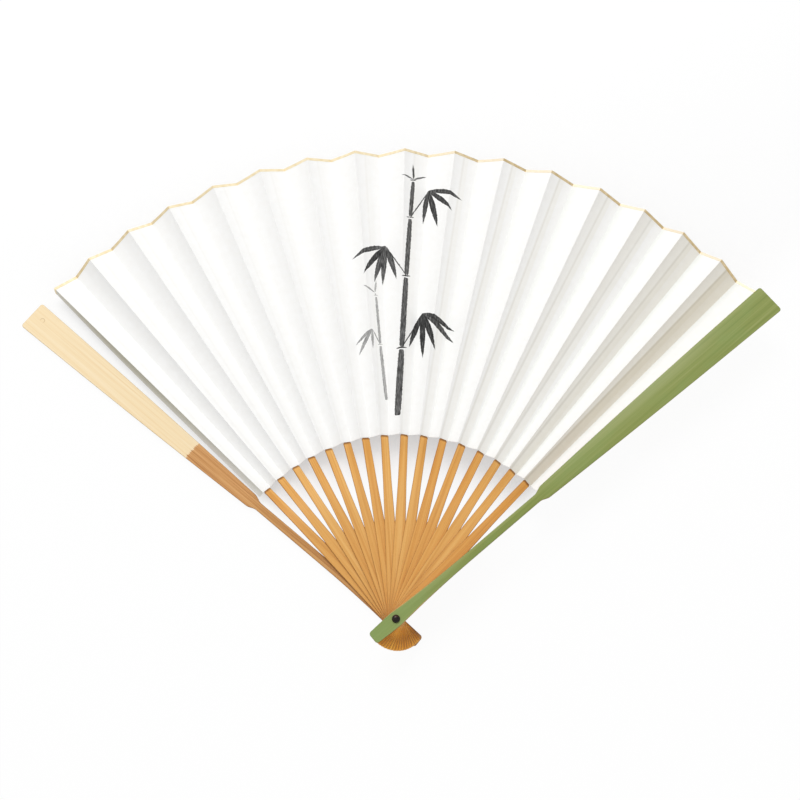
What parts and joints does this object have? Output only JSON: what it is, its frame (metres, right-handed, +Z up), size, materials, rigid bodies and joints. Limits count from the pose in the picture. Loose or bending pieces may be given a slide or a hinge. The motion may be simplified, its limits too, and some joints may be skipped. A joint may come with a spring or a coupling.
{
  "type": "folding fan",
  "caption": "Open bamboo folding fan with a pleated white paper leaf, broad shouldered guards and a domed rivet.",
  "frame": {"origin": "centre of the flat foot of the rivet's lower head, on the rivet's axis", "axes": "+Z up along the rivet's axis, +Y along the middle of the open fan, +X to the right, towards the upper guard"},
  "size_m": [0.4438, 0.2976, 0.0299],
  "materials": {
    "pale_bamboo": "satin",
    "green_bamboo": "satin",
    "rib_bamboo": "satin",
    "white_paper": "matte",
    "gold_tape": "satin",
    "dark_horn": "gloss"
  },
  "bodies": {
    "lower_guard": {"lower_guard": "pale_bamboo", "rivet_shank": "dark_horn", "rivet_cap": "dark_horn"},
    "rib_01": {"rib_01": "rib_bamboo", "rib_panel_01": "white_paper", "link_panel_01": "white_paper", "end_flap": "white_paper"},
    "rib_02": {"rib_02": "rib_bamboo", "rib_panel_02": "white_paper", "link_panel_02": "white_paper"},
    "rib_03": {"rib_03": "rib_bamboo", "rib_panel_03": "white_paper", "link_panel_03": "white_paper"},
    "rib_04": {"rib_04": "rib_bamboo", "rib_panel_04": "white_paper", "link_panel_04": "white_paper"},
    "rib_05": {"rib_05": "rib_bamboo", "rib_panel_05": "white_paper", "link_panel_05": "white_paper"},
    "rib_06": {"rib_06": "rib_bamboo", "rib_panel_06": "white_paper", "link_panel_06": "white_paper"},
    "rib_07": {"rib_07": "rib_bamboo", "rib_panel_07": "white_paper", "link_panel_07": "white_paper"},
    "rib_08": {"rib_08": "rib_bamboo", "rib_panel_08": "white_paper", "link_panel_08": "white_paper"},
    "rib_09": {"rib_09": "rib_bamboo", "rib_panel_09": "white_paper", "link_panel_09": "white_paper"},
    "rib_10": {"rib_10": "rib_bamboo", "rib_panel_10": "white_paper", "link_panel_10": "white_paper"},
    "rib_11": {"rib_11": "rib_bamboo", "rib_panel_11": "white_paper", "link_panel_11": "white_paper"},
    "rib_12": {"rib_12": "rib_bamboo", "rib_panel_12": "white_paper", "link_panel_12": "white_paper"},
    "rib_13": {"rib_13": "rib_bamboo", "rib_panel_13": "white_paper", "link_panel_13": "white_paper"},
    "rib_14": {"rib_14": "rib_bamboo", "rib_panel_14": "white_paper", "link_panel_14": "white_paper"},
    "rib_15": {"rib_15": "rib_bamboo", "rib_panel_15": "white_paper", "link_panel_15": "white_paper"},
    "rib_16": {"rib_16": "rib_bamboo", "rib_panel_16": "white_paper", "link_panel_16": "white_paper"},
    "upper_guard": {"upper_guard": "green_bamboo"}
  },
  "joints": [
    {"name": "fold_01", "type": "hinge", "parent": "lower_guard", "child": "rib_01", "pos_m": [0, 0, 0], "axis": [0, 0, 1], "range_deg": [0, 5.5]},
    {"name": "fold_02", "type": "hinge", "parent": "rib_01", "child": "rib_02", "pos_m": [0, 0, 0], "axis": [0, 0, 1], "range_deg": [0, 5.45], "deforming": ["link_panel_01"]},
    {"name": "fold_03", "type": "hinge", "parent": "rib_02", "child": "rib_03", "pos_m": [0, 0, 0], "axis": [0, 0, 1], "range_deg": [0, 5.85], "deforming": ["link_panel_02"]},
    {"name": "fold_04", "type": "hinge", "parent": "rib_03", "child": "rib_04", "pos_m": [0, 0, 0], "axis": [0, 0, 1], "range_deg": [0, 5.65], "deforming": ["link_panel_03"]},
    {"name": "fold_05", "type": "hinge", "parent": "rib_04", "child": "rib_05", "pos_m": [0, 0, 0], "axis": [0, 0, 1], "range_deg": [0, 5.95], "deforming": ["link_panel_04"]},
    {"name": "fold_06", "type": "hinge", "parent": "rib_05", "child": "rib_06", "pos_m": [0, 0, 0], "axis": [0, 0, 1], "range_deg": [0, 6.1], "deforming": ["link_panel_05"]},
    {"name": "fold_07", "type": "hinge", "parent": "rib_06", "child": "rib_07", "pos_m": [0, 0, 0], "axis": [0, 0, 1], "range_deg": [0, 5.95], "deforming": ["link_panel_06"]},
    {"name": "fold_08", "type": "hinge", "parent": "rib_07", "child": "rib_08", "pos_m": [0, 0, 0], "axis": [0, 0, 1], "range_deg": [0, 5.95], "deforming": ["link_panel_07"]},
    {"name": "fold_09", "type": "hinge", "parent": "rib_08", "child": "rib_09", "pos_m": [0, 0, 0], "axis": [0, 0, 1], "range_deg": [0, 6.15], "deforming": ["link_panel_08"]},
    {"name": "fold_10", "type": "hinge", "parent": "rib_09", "child": "rib_10", "pos_m": [0, 0, 0], "axis": [0, 0, 1], "range_deg": [0, 6.15], "deforming": ["link_panel_09"]},
    {"name": "fold_11", "type": "hinge", "parent": "rib_10", "child": "rib_11", "pos_m": [0, 0, 0], "axis": [0, 0, 1], "range_deg": [0, 6.05], "deforming": ["link_panel_10"]},
    {"name": "fold_12", "type": "hinge", "parent": "rib_11", "child": "rib_12", "pos_m": [0, 0, 0], "axis": [0, 0, 1], "range_deg": [0, 6.05], "deforming": ["link_panel_11"]},
    {"name": "fold_13", "type": "hinge", "parent": "rib_12", "child": "rib_13", "pos_m": [0, 0, 0], "axis": [0, 0, 1], "range_deg": [0, 6.25], "deforming": ["link_panel_12"]},
    {"name": "fold_14", "type": "hinge", "parent": "rib_13", "child": "rib_14", "pos_m": [0, 0, 0], "axis": [0, 0, 1], "range_deg": [0, 5.95], "deforming": ["link_panel_13"]},
    {"name": "fold_15", "type": "hinge", "parent": "rib_14", "child": "rib_15", "pos_m": [0, 0, 0], "axis": [0, 0, 1], "range_deg": [0, 5.4], "deforming": ["link_panel_14"]},
    {"name": "fold_16", "type": "hinge", "parent": "rib_15", "child": "rib_16", "pos_m": [0, 0, 0], "axis": [0, 0, 1], "range_deg": [0, 5.55], "deforming": ["link_panel_15"]},
    {"name": "fold_17", "type": "hinge", "parent": "rib_16", "child": "upper_guard", "pos_m": [0, 0, 0], "axis": [0, 0, 1], "range_deg": [0, 5.8], "deforming": ["link_panel_16"]}
  ],
  "couplings": [
    {"joint": "fold_02", "follows": "fold_01", "ratio": 0.99091},
    {"joint": "fold_03", "follows": "fold_01", "ratio": 1.0636},
    {"joint": "fold_04", "follows": "fold_01", "ratio": 1.0273},
    {"joint": "fold_05", "follows": "fold_01", "ratio": 1.0818},
    {"joint": "fold_06", "follows": "fold_01", "ratio": 1.1091},
    {"joint": "fold_07", "follows": "fold_01", "ratio": 1.0818},
    {"joint": "fold_08", "follows": "fold_01", "ratio": 1.0818},
    {"joint": "fold_09", "follows": "fold_01", "ratio": 1.1182},
    {"joint": "fold_10", "follows": "fold_01", "ratio": 1.1182},
    {"joint": "fold_11", "follows": "fold_01", "ratio": 1.1},
    {"joint": "fold_12", "follows": "fold_01", "ratio": 1.1},
    {"joint": "fold_13", "follows": "fold_01", "ratio": 1.1364},
    {"joint": "fold_14", "follows": "fold_01", "ratio": 1.0818},
    {"joint": "fold_15", "follows": "fold_01", "ratio": 0.98182},
    {"joint": "fold_16", "follows": "fold_01", "ratio": 1.0091},
    {"joint": "fold_17", "follows": "fold_01", "ratio": 1.0545}
  ]
}
